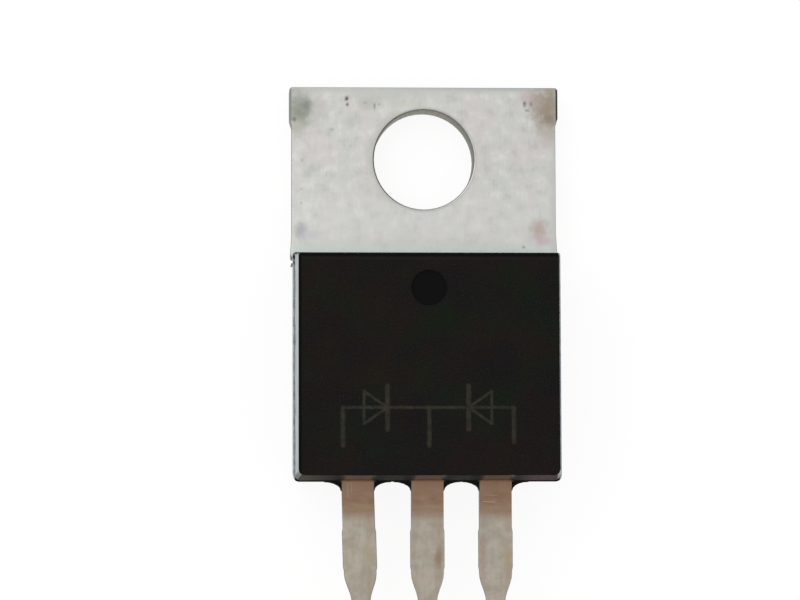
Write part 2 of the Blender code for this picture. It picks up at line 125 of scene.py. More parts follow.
class Graph:
    """Adds shader nodes to one node tree and links them."""

    def __init__(self, tree):
        self.nodes = tree.nodes
        self.links = tree.links

    def feed(self, socket, value):
        """Link a socket to another one, or set its value."""
        if isinstance(value, bpy.types.NodeSocket):
            self.links.new(value, socket)
        else:
            socket.default_value = value

    def put(self, kind, inputs=(), **settings):
        """New node with its settings and inputs."""
        node = self.nodes.new(kind)
        for name, value in settings.items():
            setattr(node, name, value)
        for name, value in dict(inputs).items():
            self.feed(node.inputs[name], value)
        return node

    def math(self, operation, first, second=0.0):
        node = self.put("ShaderNodeMath", {0: first, 1: second}, operation=operation)
        return node.outputs[0]

    def add(self, first, second):
        return self.math("ADD", first, second)

    def times(self, first, second):
        return self.math("MULTIPLY", first, second)

    def vector(self, operation, first, second=(0.0, 0.0, 0.0)):
        node = self.put("ShaderNodeVectorMath", {0: first, 1: second}, operation=operation)
        return node.outputs["Value" if operation in ("DOT_PRODUCT", "LENGTH") else "Vector"]

    def scaled(self, vector, factor):
        node = self.put("ShaderNodeVectorMath", {0: vector, "Scale": factor}, operation="SCALE")
        return node.outputs["Vector"]

    def split(self, vector):
        return self.put("ShaderNodeSeparateXYZ", {0: vector}).outputs

    def place(self):
        """Position in the part's frame, in millimetres."""
        coordinates = self.put("ShaderNodeTexCoord")
        return self.scaled(coordinates.outputs["Object"], 1 / mm)

    def facing(self):
        """Surface normal in the part's frame."""
        return self.put("ShaderNodeTexCoord").outputs["Normal"]

    def flat_offset(self, place, centre):
        """Offset from a place on the front, without its height."""
        offset = self.vector("SUBTRACT", place, (*centre, 0.0))
        return self.vector("MULTIPLY", offset, (1.0, 1.0, 0.0))

    def noise(self, vector, scale, detail=3.0, roughness=0.5):
        """Noise from 0 to 1; scale is one number, or one for each axis."""
        if not isinstance(scale, (int, float)):
            vector = self.vector("MULTIPLY", vector, scale)
            scale = 1.0
        node = self.put("ShaderNodeTexNoise", {
            "Vector": vector, "Scale": scale, "Detail": detail, "Roughness": roughness,
        })
        return node.outputs["Fac"]

    def ramp(self, value, start, end, low=0.0, high=1.0):
        """Smooth step from low at start to high at end."""
        node = self.put("ShaderNodeMapRange", {
            "Value": value, "From Min": start, "From Max": end, "To Min": low, "To Max": high,
        }, interpolation_type="SMOOTHSTEP")
        return node.outputs["Result"]

    def band(self, value, centre, reach):
        """1 at the centre value, falling to 0 at the reach on both sides of it."""
        distance = self.math("ABSOLUTE", self.math("SUBTRACT", value, centre))
        return self.ramp(distance, reach, 0.0)

    def spread(self, value, low=0.0, high=1.0):
        """Stretch noise, which stays near its middle, to a range."""
        node = self.put("ShaderNodeMapRange", {
            "Value": value, "From Min": noise_low, "From Max": noise_high,
            "To Min": low, "To Max": high,
        })
        return node.outputs["Result"]

    def sway(self, value, reach):
        """Stretch noise to both sides of 0."""
        return self.spread(value, -reach, reach)

    def mix(self, first, second, share):
        """Mix of two colours, which a Mix node takes in its sockets 6 and 7."""
        node = self.put("ShaderNodeMix", {0: share, 6: first, 7: second}, data_type="RGBA")
        return node.outputs[2]

    def blend(self, first, second, share):
        """Mix of two numbers, which a Mix node takes in its sockets 2 and 3."""
        node = self.put("ShaderNodeMix", {0: share, 2: first, 3: second}, data_type="FLOAT")
        return node.outputs[0]

    def bump(self, height, distance):
        inputs = {"Height": height, "Distance": distance * mm, "Strength": 1.0}
        return self.put("ShaderNodeBump", inputs).outputs["Normal"]


def linear(red, green, blue):
    """Linear colour from the values that a screen shows, 0 to 255."""
    channels = []
    for value in (red, green, blue):
        share = value / 255
        if share <= screen_straight_end:
            channels.append(share / screen_straight_slope)
        else:
            raised = (share + screen_curve_shift) / (1 + screen_curve_shift)
            channels.append(raised ** screen_curve_power)
    return (*channels, 1.0)


def new_material(name):
    """Empty material with its graph and its Principled shader."""
    material = bpy.data.materials.new(name)
    material.use_nodes = True
    shader = material.node_tree.nodes["Principled BSDF"]
    return material, Graph(material.node_tree), shader


def blot(graph, place, ragged, centre, half_size):
    """Soft ragged patch, 1 in its middle and 0 outside."""
    offset = graph.vector("SUBTRACT", place, (*centre, 0.0))
    shape = graph.vector("MULTIPLY", offset, (1 / half_size[0], 1 / half_size[1], 0.0))
    distance = graph.vector("LENGTH", shape)
    return graph.ramp(graph.add(distance, ragged), blot_start, blot_full)


def with_blots(graph, place, ragged, colour, blots):
    """Colour with a list of blots over it: middle, half size, colour and strength of each."""
    for centre, half_size, blot_colour, strength in blots:
        patch = blot(graph, place, ragged, centre, half_size)
        colour = graph.mix(colour, blot_colour, graph.times(patch, strength))
    return colour


def stroke(graph, place, start, end, width):
    """1 on a straight marked line and 0 beside it."""
    run = (end[0] - start[0], end[1] - start[1], 0.0)
    length_squared = run[0] ** 2 + run[1] ** 2
    offset = graph.flat_offset(place, start)
    along = graph.math("DIVIDE", graph.vector("DOT_PRODUCT", offset, run), length_squared)
    along = graph.math("MINIMUM", graph.math("MAXIMUM", along, 0.0), 1.0)
    nearest = graph.scaled(run, along)
    distance = graph.vector("LENGTH", graph.vector("SUBTRACT", offset, nearest))
    return graph.ramp(distance, width * stroke_start, width * stroke_full)


# In the values below a noise is its scale per millimetre, its detail and its roughness. A pair of
# tones, shares or roughnesses is a range, one of colours is what is mixed, and any other pair is
# where a change starts and where it is full

# Soft stains on the tab's front: middle, half size, colour, strength
tab_stains = (
    ((-4.66, 13.38), (0.66, 0.86), linear(158, 162, 153), 0.90),
    ((-4.84, 13.76), (0.34, 0.40), linear(150, 153, 146), 0.60),
    ((-4.84, 13.24), (0.34, 0.44), linear(136, 140, 129), 0.60),
    ((-4.46, 13.52), (0.26, 0.30), linear(124, 130, 122), 0.75),
    ((-4.66, 13.22), (0.28, 0.36), linear(138, 142, 128), 0.70),
    ((-4.80, 12.72), (0.34, 0.42), linear(176, 176, 166), 0.70),
    ((-3.95, 13.35), (0.36, 0.60), linear(184, 182, 178), 0.65),
    ((4.68, 13.42), (0.64, 0.98), linear(152, 139, 124), 0.95),
    ((4.82, 13.60), (0.30, 0.70), linear(146, 136, 121), 0.45),
    ((4.24, 13.72), (0.40, 0.46), linear(168, 155, 149), 0.75),
    ((3.88, 13.90), (0.30, 0.30), linear(192, 178, 178), 0.60),
    ((4.78, 12.96), (0.30, 0.26), linear(136, 126, 110), 0.70),
    ((4.74, 12.50), (0.40, 0.44), linear(178, 170, 162), 0.65),
    ((4.52, 12.15), (0.40, 0.30), linear(196, 184, 184), 0.55),
    ((4.38, 8.82), (0.42, 0.44), linear(172, 153, 142), 0.70),
    ((4.50, 8.40), (0.40, 0.22), linear(198, 172, 184), 0.65),
    ((-4.66, 8.78), (0.26, 0.34), linear(164, 164, 170), 0.75),
    ((-4.30, 8.60), (0.34, 0.20), linear(190, 186, 196), 0.55),
    ((-2.10, 13.68), (0.50, 0.34), linear(176, 176, 168), 0.65),
    ((-2.72, 13.00), (0.36, 0.40), linear(188, 188, 182), 0.60),
    ((-0.80, 13.62), (1.10, 0.22), linear(192, 196, 184), 0.55),
    ((-1.60, 13.96), (2.00, 0.26), linear(184, 187, 181), 0.50),
    ((2.35, 11.70), (0.24, 0.40), linear(188, 186, 180), 0.45),
)
tab_stain_noise = (4.0, 4.0, 0.55)
tab_stain_raggedness = 0.22

# Small marks on the tab's front: middle, half size, colour, strength
tab_specks = (
    ((-2.93, 13.82), (0.09, 0.10), linear(80, 80, 72), 0.95),
    ((-2.90, 13.59), (0.07, 0.09), linear(108, 106, 98), 0.85),
    ((-2.23, 13.66), (0.09, 0.06), linear(158, 158, 150), 0.70),
    ((-1.87, 13.51), (0.05, 0.14), linear(136, 136, 120), 0.80),
    ((-1.70, 13.60), (0.05, 0.07), linear(160, 160, 150), 0.60),
    ((-3.49, 12.63), (0.10, 0.09), linear(165, 165, 165), 0.70),
    ((-4.93, 13.02), (0.10, 0.09), linear(112, 114, 106), 0.80),
    ((-4.63, 11.46), (0.06, 0.10), linear(172, 170, 164), 0.60),
    ((-4.64, 10.35), (0.06, 0.06), linear(170, 168, 162), 0.60),
    ((-4.66, 9.82), (0.05, 0.08), linear(174, 172, 166), 0.60),
    ((-4.70, 9.06), (0.05, 0.05), linear(176, 172, 168), 0.60),
    ((3.84, 13.63), (0.07, 0.14), linear(104, 106, 100), 0.85),
    ((4.09, 13.63), (0.06, 0.10), linear(122, 122, 116), 0.75),
    ((3.94, 13.38), (0.11, 0.06), linear(128, 128, 120), 0.65),
    ((3.77, 8.16), (0.06, 0.06), linear(120, 132, 116), 0.70),
    ((3.15, 10.15), (0.05, 0.05), linear(172, 170, 166), 0.60),
    ((-3.70, 10.90), (0.04, 0.12), linear(182, 180, 174), 0.50),
)
tab_speck_noise = (14.0, 3.0, 0.6)
tab_speck_raggedness = 0.35

# Further out than any stain or speck, so that the tab's back has none
outside_blots = 2.0

# Tin on the tab: cloudy tints with darker and paler mottling, and a grain along the strip
tab_tints = (linear(196, 198, 194), linear(202, 198, 195))
tab_tint_noise = (0.8, 3.0)
mottle_noise = (2.2, 4.0, 0.58)
mottle_reach = 0.7
tab_grain_noise = ((13.0, 1.2, 4.0), 3.0)
tab_grain_reach = 0.2
middle_tone = 0.5
full_tone_reach = 0.85
dark_mottle_colour = linear(183, 184, 177)
dark_mottle_share = 0.85
pale_mottle_colour = linear(213, 213, 210)
pale_mottle_share = 0.75

# Lower part of the tab painted paler, as painted light against the moulding's shade; its greenish
# foot, and its greyer top and right border
lower_tab_painted_light_colour = linear(218, 218, 214)
lower_tab_painted_light_share = 0.38
lower_tab_painted_light_y = (11.2, 8.2)
tab_foot_colour = linear(200, 212, 206)
tab_foot_share = 0.6
tab_foot_y = 8.06
tab_foot_reach = 0.34
tab_border_colour = linear(186, 188, 183)
tab_border_share = 0.6
top_border_y = (tab_high.y - 0.32, tab_high.y - 0.10)
right_border_x = (tab_half_width - 0.45, tab_half_width - 0.05)

# Bluish line along the tab's rolled top edge, stronger towards the right
top_line_colour = linear(176, 181, 181)
top_line_y = (tab_high.y - 0.16, tab_high.y - 0.08)
top_line_x = (-2.0, 4.0)
top_line_shares = (0.4, 0.9)

# Rolled edges of the tab's stubs, darkened where the strip was cut apart
stub_edge_x = (tab_half_width - 0.03, tab_half_width)
stub_low_y = 12.95
stub_y = (stub_low_y - 0.12, stub_low_y + 0.12)
left_stub_colour = linear(132, 134, 132)
right_stub_colour = linear(64, 61, 54)

# Darker metal around the punched hole, darkest on its left: colour, share and distance from rim
halo_colour = linear(184, 185, 178)
halo_share = 0.65
halo_distance = (0.40, 0.05)
rim_colour = linear(180, 179, 176)
rim_share = 0.8
rim_distance = (0.15, 0.06)
left_rim_dark_colour = linear(92, 86, 79)
left_rim_dark_share = 0.9
left_rim_dark_distance = (0.055, 0.025)
hole_left_x = (-0.5, -1.4)


def mottled_tin(graph, place):
    """Tin on the tab before its zones and stains."""
    colour = graph.mix(*tab_tints, graph.spread(graph.noise(place, *tab_tint_noise)))
    mottle = graph.sway(graph.noise(place, *mottle_noise), mottle_reach)
    grain = graph.sway(graph.noise(place, *tab_grain_noise), tab_grain_reach)
    tone = graph.add(graph.add(mottle, grain), middle_tone)
    darkest_tone = middle_tone - full_tone_reach
    palest_tone = middle_tone + full_tone_reach
    dark_share = graph.ramp(tone, middle_tone, darkest_tone, 0.0, dark_mottle_share)
    pale_share = graph.ramp(tone, middle_tone, palest_tone, 0.0, pale_mottle_share)
    colour = graph.mix(colour, dark_mottle_colour, dark_share)
    return graph.mix(colour, pale_mottle_colour, pale_share)


def tab_zones(graph, x, y, colour):
    """Tab colour with its lower part painted paler against the moulding's shade, its foot, its
    borders and its top line.
    """
    # Painted light: the lower part of the tab is made paler where the moulding shades it
    painted_light_low = graph.ramp(y, *lower_tab_painted_light_y)
    colour = graph.mix(colour, lower_tab_painted_light_colour, graph.times(painted_light_low, lower_tab_painted_light_share))
    foot = graph.band(y, tab_foot_y, tab_foot_reach)
    colour = graph.mix(colour, tab_foot_colour, graph.times(foot, tab_foot_share))
    border = graph.math("MAXIMUM", graph.ramp(y, *top_border_y), graph.ramp(x, *right_border_x))
    colour = graph.mix(colour, tab_border_colour, graph.times(border, tab_border_share))
    line_share = graph.ramp(x, *top_line_x, *top_line_shares)
    top_line = graph.times(graph.ramp(y, *top_line_y), line_share)
    return graph.mix(colour, top_line_colour, top_line)


def hole_rim(graph, place, x, colour):
    """Tab colour with the rolled rim of the hole and the grey beside it."""
    distance = graph.vector("LENGTH", graph.flat_offset(place, hole_centre))
    from_rim = graph.math("SUBTRACT", distance, hole_radius)
    at_left = graph.ramp(x, *hole_left_x)
    halo = graph.times(graph.ramp(from_rim, *halo_distance), at_left)
    colour = graph.mix(colour, halo_colour, graph.times(halo, halo_share))
    rim = graph.ramp(from_rim, *rim_distance)
    colour = graph.mix(colour, rim_colour, graph.times(rim, rim_share))
    # Dark line along the left of the hole's rim
    left_rim_dark = graph.times(graph.ramp(from_rim, *left_rim_dark_distance), at_left)
    return graph.mix(colour, left_rim_dark_colour, graph.times(left_rim_dark, left_rim_dark_share))


def tab_colour(graph, place, x, y, looks_back):
    """Tin on the tab, with stains and specks on its front only."""
    colour = tab_zones(graph, x, y, mottled_tin(graph, place))
    colour = hole_rim(graph, place, x, colour)

    hidden = graph.times(looks_back, outside_blots)
    ragged = graph.sway(graph.noise(place, *tab_stain_noise), tab_stain_raggedness)
    colour = with_blots(graph, place, graph.add(ragged, hidden), colour, tab_stains)
    fine = graph.sway(graph.noise(place, *tab_speck_noise), tab_speck_raggedness)
    colour = with_blots(graph, place, graph.add(fine, hidden), colour, tab_specks)

    at_stub = graph.ramp(y, *stub_y)
    for side, stub_colour in ((-1.0, left_stub_colour), (1.0, right_stub_colour)):
        edge = graph.ramp(graph.times(x, side), *stub_edge_x)
        colour = graph.mix(colour, stub_colour, graph.times(edge, at_stub))
    return colour


# Leads, from the moulding down: copper that the tin bath never reached, its stained end, and tin
copper_colours = (linear(134, 109, 82), linear(152, 124, 111))
copper_noise = ((2.5, 5.0, 3.0), 5.0, 0.65)
copper_near_moulding = linear(160, 131, 109)
near_moulding_y = (moulding_end_y - 0.8, moulding_end_y)
copper_scratches = (
    ((2.05, -1.53), (2.50, -1.55), 0.035),
    ((2.12, -1.28), (2.62, -1.31), 0.015),
    ((-2.98, -0.80), (-2.96, -1.35), 0.025),
    ((-2.84, -0.80), (-2.83, -1.20), 0.02),
)
scratch_colour = linear(178, 158, 138)
scratch_share = 0.7
tide_mark_y = -1.76
tide_mark_reach = 0.14
tide_mark_colour = linear(146, 134, 104)
tide_mark_share = 0.55
tide_noise = (2.6, 4.0, 0.6)
tide_waviness = 0.07
tin_y = (tide_mark_y, -2.36)

# Tin on the leads: streaks and patches, faint tints, and a worn border at each right edge
tin_colours = (linear(149, 141, 128), linear(181, 175, 162))
streak_noise = ((6.0, 0.6, 3.0), 4.0, 0.6)
streak_tones = (-0.10, 0.30)
patch_noise = (2.6, 5.0, 0.6)
patch_tones = (-0.05, 0.85)
tin_tints = (linear(156, 158, 138), linear(176, 158, 150))
tin_tint_noise = ((2.2, 1.5, 2.0), 5.0, 0.6)
tin_tint_share = 0.45
lead_border_colour = linear(158, 144, 128)
lead_border_x = 0.44
lead_border_reach = 0.20
wear_noise = (1.9, 4.0, 0.6)
wear_shares = (0.1, 1.0)

# Stains on the tinned part of the leads: middle, half size, colour, strength
lead_stains = (
    ((0.40, -3.62), (0.13, 0.42), linear(142, 118, 100), 0.75),
    ((-0.50, -3.30), (0.10, 0.50), linear(160, 146, 116), 0.55),
    ((2.02, -3.50), (0.12, 0.75), linear(156, 134, 120), 0.65),
    ((2.98, -3.60), (0.12, 0.45), linear(168, 150, 118), 0.60),
    ((-2.20, -3.40), (0.16, 0.60), linear(166, 158, 130), 0.55),
    ((-3.02, -3.55), (0.10, 0.40), linear(158, 152, 128), 0.50),
)
lead_stain_raggedness = 4.0


def dipped_tin(graph, place, x, wavy):
    """Tin on the leads with its tints, borders and stains."""
    streaks = graph.spread(graph.noise(place, *streak_noise), *streak_tones)
    patches = graph.spread(graph.noise(place, *patch_noise), *patch_tones)
    tin = graph.mix(*tin_colours, graph.ramp(graph.add(streaks, patches), 0.0, 1.0))
    tint = graph.mix(*tin_tints, graph.spread(graph.noise(place, *tin_tint_noise)))
    tin = graph.mix(tin, tint, tin_tint_share)
    border = 0.0
    for lead_x in lead_places:
        right_border = graph.band(graph.add(x, wavy), lead_x + lead_border_x, lead_border_reach)
        border = graph.math("MAXIMUM", border, right_border)
    worn = graph.spread(graph.noise(place, *wear_noise), *wear_shares)
    tin = graph.mix(tin, lead_border_colour, graph.times(border, worn))
    ragged = graph.times(wavy, lead_stain_raggedness)
    return with_blots(graph, place, ragged, tin, lead_stains)


def bare_copper(graph, place, y):
    """Brown copper beside the moulding, with its scratches."""
    copper = graph.mix(*copper_colours, graph.spread(graph.noise(place, *copper_noise)))
    copper = graph.mix(copper, copper_near_moulding, graph.ramp(y, *near_moulding_y))
    for start, end, width in copper_scratches:
        scratch = graph.times(stroke(graph, place, start, end, width), scratch_share)
        copper = graph.mix(copper, scratch_colour, scratch)
    return copper


def lead_colour(graph, place, x, y):
    """Leads: bare copper, the tide mark where it ends, then dipped tin."""
    wavy = graph.sway(graph.noise(place, *tide_noise), tide_waviness)
    edge = graph.add(y, wavy)
    tin = dipped_tin(graph, place, x, wavy)
    colour = graph.mix(bare_copper(graph, place, y), tin, graph.ramp(edge, *tin_y))
    tide = graph.times(graph.band(edge, tide_mark_y, tide_mark_reach), tide_mark_share)
    return graph.mix(colour, tide_mark_colour, tide)


# Dark spot on the tab's foot, beside the moulding's upper left corner
foot_dark_spot = (-5.05, 7.60)
foot_dark_spot_size = (0.12, 0.26)
foot_dark_spot_colour = linear(78, 80, 85)
foot_dark_spot_share = 0.95

# Sheared edges, where the copper shows, and painted shade on the right of the hole's wall
sheared_colours = (linear(112, 106, 90), linear(152, 145, 128))
shear_noise = ((14.0, 14.0, 1.2), 4.0, 0.6)
hole_wall_painted_shade_colour = linear(96, 94, 88)
hole_wall_painted_shade_half_size = (hole_radius + 0.9, hole_radius + 0.9)
hole_wall_painted_shade_x = (0.6, hole_radius)

# Upright share of the normal where a face counts as flat, and where it counts as the back
flat_facing = (0.25, 0.80)
back_facing = (0.0, -0.5)

# Inside the moulding, where the tab's finish gives way to that of the leads
lead_start_y = (moulding_end_y + 0.2, moulding_end_y)

# Roughness and relief of the metal
tab_roughness = 0.40
lead_roughness = 0.46
sheared_roughness = 0.5
smudge_noise = (1.3, 4.0, 0.6)
smudge_reach = 0.05
pit_noise = (18.0, 3.0, 0.6)
drawn_noise = ((22.0, 0.9, 22.0), 3.0)
metal_relief = 0.003


def tinned_copper():
    """Stamped copper with tin over it, and sheared edges where the copper shows."""
    material, graph, shader = new_material("tinned_copper_finish")
    place = graph.place()
    x, y = graph.split(place)[:2]
    upright = graph.split(graph.facing())["Z"]
    is_flat = graph.ramp(graph.math("ABSOLUTE", upright), *flat_facing)
    looks_back = graph.ramp(upright, *back_facing)
    on_lead = graph.ramp(y, *lead_start_y)
    on_tab = tab_colour(graph, place, x, y, looks_back)
    front = graph.mix(on_tab, lead_colour(graph, place, x, y), on_lead)

    drag = graph.noise(place, *shear_noise)
    sheared = graph.mix(*sheared_colours, graph.spread(drag))
    # Painted shade: the sheared colour darkens towards the right of the hole's wall
    in_hole = blot(graph, place, 0.0, hole_centre, hole_wall_painted_shade_half_size)
    painted_wall_shade = graph.times(in_hole, graph.ramp(x, *hole_wall_painted_shade_x))
    sheared = graph.mix(sheared, hole_wall_painted_shade_colour, painted_wall_shade)
    colour = graph.mix(sheared, front, is_flat)
    # Dark spot on the tab's foot beside the moulding
    at_foot = blot(graph, place, 0.0, foot_dark_spot, foot_dark_spot_size)
    colour = graph.mix(colour, foot_dark_spot_colour, graph.times(at_foot, foot_dark_spot_share))
    graph.feed(shader.inputs["Base Color"], colour)
    shader.inputs["Metallic"].default_value = 1.0

    smudge = graph.sway(graph.noise(place, *smudge_noise), smudge_reach)
    flat_roughness = graph.add(smudge, graph.blend(tab_roughness, lead_roughness, on_lead))
    roughness = graph.blend(sheared_roughness, flat_roughness, is_flat)
    graph.feed(shader.inputs["Roughness"], roughness)

    pits = graph.noise(place, *pit_noise)
    drawn = graph.times(graph.noise(place, *drawn_noise), on_lead)
    torn = graph.times(drag, graph.math("SUBTRACT", 1.0, is_flat))
    relief = graph.add(graph.add(pits, drawn), torn)
    graph.feed(shader.inputs["Normal"], graph.bump(relief, metal_relief))
    return material


# The marked two-diode symbol: start, end and width of each stroke
leg_left_x = -3.20
leg_middle_x = -0.015
leg_right_x = 3.112
rail_y = 1.884
leg_bottom_y = 0.48
short_leg_bottom_y = 0.60
bar_left_x = -1.555
bar_right_x = 1.44
triangle_left_x = -2.42
triangle_right_x = 2.30
half_bar = 0.80
half_triangle = 0.60
leg_width = 0.165
rail_width = 0.115
bar_width = 0.175
triangle_width = 0.105
bar_high = rail_y + half_bar
bar_low = rail_y - half_bar
triangle_high = rail_y + half_triangle
triangle_low = rail_y - half_triangle
symbol_strokes = (
    ((leg_left_x, rail_y), (leg_left_x, leg_bottom_y), leg_width),
    ((leg_middle_x, rail_y), (leg_middle_x, leg_bottom_y), leg_width),
    ((leg_right_x, rail_y), (leg_right_x, short_leg_bottom_y), leg_width),
    ((leg_left_x, rail_y), (leg_right_x, rail_y), rail_width),
    ((bar_left_x, bar_low), (bar_left_x, bar_high), bar_width),
    ((bar_right_x, bar_low), (bar_right_x, bar_high), bar_width),
    ((triangle_left_x, triangle_low), (triangle_left_x, triangle_high), triangle_width),
    ((triangle_left_x, triangle_low), (bar_left_x, rail_y), triangle_width),
    ((triangle_left_x, triangle_high), (bar_left_x, rail_y), triangle_width),
    ((triangle_right_x, triangle_low), (triangle_right_x, triangle_high), triangle_width),
    ((triangle_right_x, triangle_low), (bar_right_x, rail_y), triangle_width),
    ((triangle_right_x, triangle_high), (bar_right_x, rail_y), triangle_width),
)
wobble_scale = 9.0
wobble_detail = 2.0
wobble_width = 0.07


def symbol_mask(graph, place):
    """The whole marked symbol, with the uneven edges of a burnt mark."""
    wobble = graph.put("ShaderNodeTexNoise", {
        "Vector": place, "Scale": wobble_scale, "Detail": wobble_detail,
    })
    middle = (wobble_width / 2, wobble_width / 2, 0.0)
    shift = graph.vector("MULTIPLY", wobble.outputs["Color"], (wobble_width, wobble_width, 0.0))
    shifted = graph.vector("ADD", place, graph.vector("SUBTRACT", shift, middle))
    mask = 0.0
    for start, end, width in symbol_strokes:
        mask = graph.math("MAXIMUM", mask, stroke(graph, shifted, start, end, width))
    return mask


# Colours of the moulding compound, as linear values
compound_green = (0.0022, 0.0080, 0.0018, 1.0)
compound_red = (0.0112, 0.0044, 0.0030, 1.0)
compound_violet = (0.0040, 0.0024, 0.0052, 1.0)
compound_filler = (0.018, 0.017, 0.015, 1.0)
compound_dark = (0.0006, 0.0003, 0.0004, 1.0)
compound_polished = (0.0100, 0.0096, 0.0090, 1.0)
burnt_colour = (0.0370, 0.0325, 0.0245, 1.0)
left_end_colour = (0.020, 0.0165, 0.0078, 1.0)
right_end_colour = (0.021, 0.0100, 0.0103, 1.0)

# Patches of the compound's tints, and its filler grains
green_red_noise = (0.55, 3.0, 0.55)
violet_noise = (0.75, 3.0, 0.55)
violet_share = 0.7
filler_noise = (14.0, 4.0, 0.75)
filler_grains = (0.50, 0.75)

# Front of the moulding: polished strip and dark rim beside its edge, ejector mark, burnt symbol
front_z = (front_high.z - 0.12, front_high.z - 0.08)
polished_strip_inset = 0.14
polished_strip_reach = 0.07
polished_strip_share = 0.7
dark_rim_inset = (0.09, 0.04)
ejector_mark_edge = (0.72, 0.60)
ejector_mark_share = 0.9
burnt_noise = (4.0, 5.0, 0.7)
burnt_shares = (0.25, 1.0)
front_specular = 0.08
front_roughness_noise = (1.1, 4.0)
front_roughness = (0.52, 0.62)
front_relief_noise = (22.0, 3.0, 0.6)
front_relief = 0.006

# Parting ledge: pale at the sides, with dark spots at the tab, copper coloured over the leads
ledge_colours = (linear(146, 153, 156), linear(198, 205, 209))
ledge_noise = (3.0, 5.0, 0.6)
ledge_reach = 0.06
ledge_side_x = (4.93, 4.95)
ledge_dark_spots = (
    ((-4.99, 7.61), (0.08, 0.16), compound_dark, 1.0),
    ((-5.01, 7.39), (0.05, 0.08), compound_dark, 1.0),
)
lead_ledge_colour = linear(160, 120, 95)
lead_ledge_y = (moulding_end_y + 0.1, moulding_end_y + 0.05)
lead_ledge_reach = 0.75
lead_ledge_edge = (0.0, 0.2)


def compound_base(graph, place):
    """Black compound in patches of slightly unlike tints, with pale filler grains."""
    first = graph.spread(graph.noise(place, *green_red_noise))
    second = graph.spread(graph.noise(place, *violet_noise))
    base = graph.mix(compound_green, compound_red, first)
    base = graph.mix(base, compound_violet, graph.times(second, violet_share))
    filler = graph.noise(place, *filler_noise)
    return graph.mix(base, compound_filler, graph.ramp(filler, *filler_grains))


def by_leads(graph, x, reach):
    """1 at the middle of each lead, falling to 0 at the reach."""
    near = 0.0
    for lead_x in lead_places:
        near = graph.math("MAXIMUM", near, graph.band(x, lead_x, reach))
    return near


def front_marks(graph, place, x, y, on_front, base):
    """Compound colour with what the front face carries."""
    below_tab_edge = graph.math("SUBTRACT", front_high.y, y)
    from_left_edge = graph.math("SUBTRACT", x, front_low.x)
    strip = graph.band(below_tab_edge, polished_strip_inset, polished_strip_reach)
    polished = graph.times(strip, graph.times(on_front, polished_strip_share))
    base = graph.mix(base, compound_polished, polished)
    rim = graph.ramp(graph.math("MINIMUM", below_tab_edge, from_left_edge), *dark_rim_inset)
    base = graph.mix(base, compound_dark, graph.times(rim, on_front))

    mark_distance = graph.vector("LENGTH", graph.flat_offset(place, ejector_mark))
    in_mark = graph.times(graph.ramp(mark_distance, *ejector_mark_edge), on_front)
    base = graph.mix(base, compound_dark, graph.times(in_mark, ejector_mark_share))

    uneven = graph.spread(graph.noise(place, *burnt_noise), *burnt_shares)
    burnt = graph.times(graph.times(symbol_mask(graph, place), on_front), uneven)
    return graph.mix(base, burnt_colour, burnt)


def parting_ledge(graph, place, x, y, z, base):
    """Compound colour with the ledge where the two halves of the moulding meet."""
    ledge = graph.mix(*ledge_colours, graph.spread(graph.noise(place, *ledge_noise)))
    # Dark spots on the ledge beside the tab's foot
    ledge = with_blots(graph, place, 0.0, ledge, ledge_dark_spots)
    at_parting = graph.band(z, parting_z, ledge_reach)
    at_side = graph.ramp(graph.math("ABSOLUTE", x), *ledge_side_x)
    base = graph.mix(base, ledge, graph.times(at_parting, at_side))
    over_lead = graph.ramp(by_leads(graph, x, lead_ledge_reach), *lead_ledge_edge)
    at_lead = graph.times(graph.ramp(y, *lead_ledge_y), over_lead)
    return graph.mix(base, lead_ledge_colour, graph.times(at_parting, at_lead))


def moulding_front():
    """Matt front of the moulding with its dark rim, ejector mark and burnt symbol."""
    material, graph, shader = new_material("epoxy_moulding_front")
    place = graph.place()
    x, y, z = graph.split(place)
    on_front = graph.ramp(z, *front_z)
    base = front_marks(graph, place, x, y, on_front, compound_base(graph, place))
    base = parting_ledge(graph, place, x, y, z, base)
    graph.feed(shader.inputs["Base Color"], base)
    shader.inputs["Specular IOR Level"].default_value = front_specular
    roughness = graph.spread(graph.noise(place, *front_roughness_noise), *front_roughness)
    graph.feed(shader.inputs["Roughness"], roughness)
    relief = graph.noise(place, *front_relief_noise)
    graph.feed(shader.inputs["Normal"], graph.bump(relief, front_relief))
    return material


# Side walls of the moulding, and the grain that the end walls have as well
side_specular = 0.5
side_specular_tint = (0.94, 0.985, 1.0, 1.0)
side_roughness_noise = ((0.8, 1.0, 2.5), 3.0, 0.6)
side_roughness = (0.03, 0.19)
side_wave_noise = ((0.9, 0.9, 0.7), 2.0)
wall_grain_noise = ((5.0, 5.0, 9.0), 4.0, 0.6)
side_grain_share = 0.03
side_relief = 0.05


def moulding_sides():
    """Glossy drafted side walls, unevenly polished by the mould."""
    material, graph, shader = new_material("epoxy_moulding_sides")
    place = graph.place()
    graph.feed(shader.inputs["Base Color"], compound_base(graph, place))
    shader.inputs["Specular IOR Level"].default_value = side_specular
    shader.inputs["Specular Tint"].default_value = side_specular_tint
    roughness = graph.spread(graph.noise(place, *side_roughness_noise), *side_roughness)
    graph.feed(shader.inputs["Roughness"], roughness)
    waves = graph.noise(place, *side_wave_noise)
    grain = graph.noise(place, *wall_grain_noise)
    relief = graph.add(waves, graph.times(grain, side_grain_share))
    graph.feed(shader.inputs["Normal"], graph.bump(relief, side_relief))
    return material


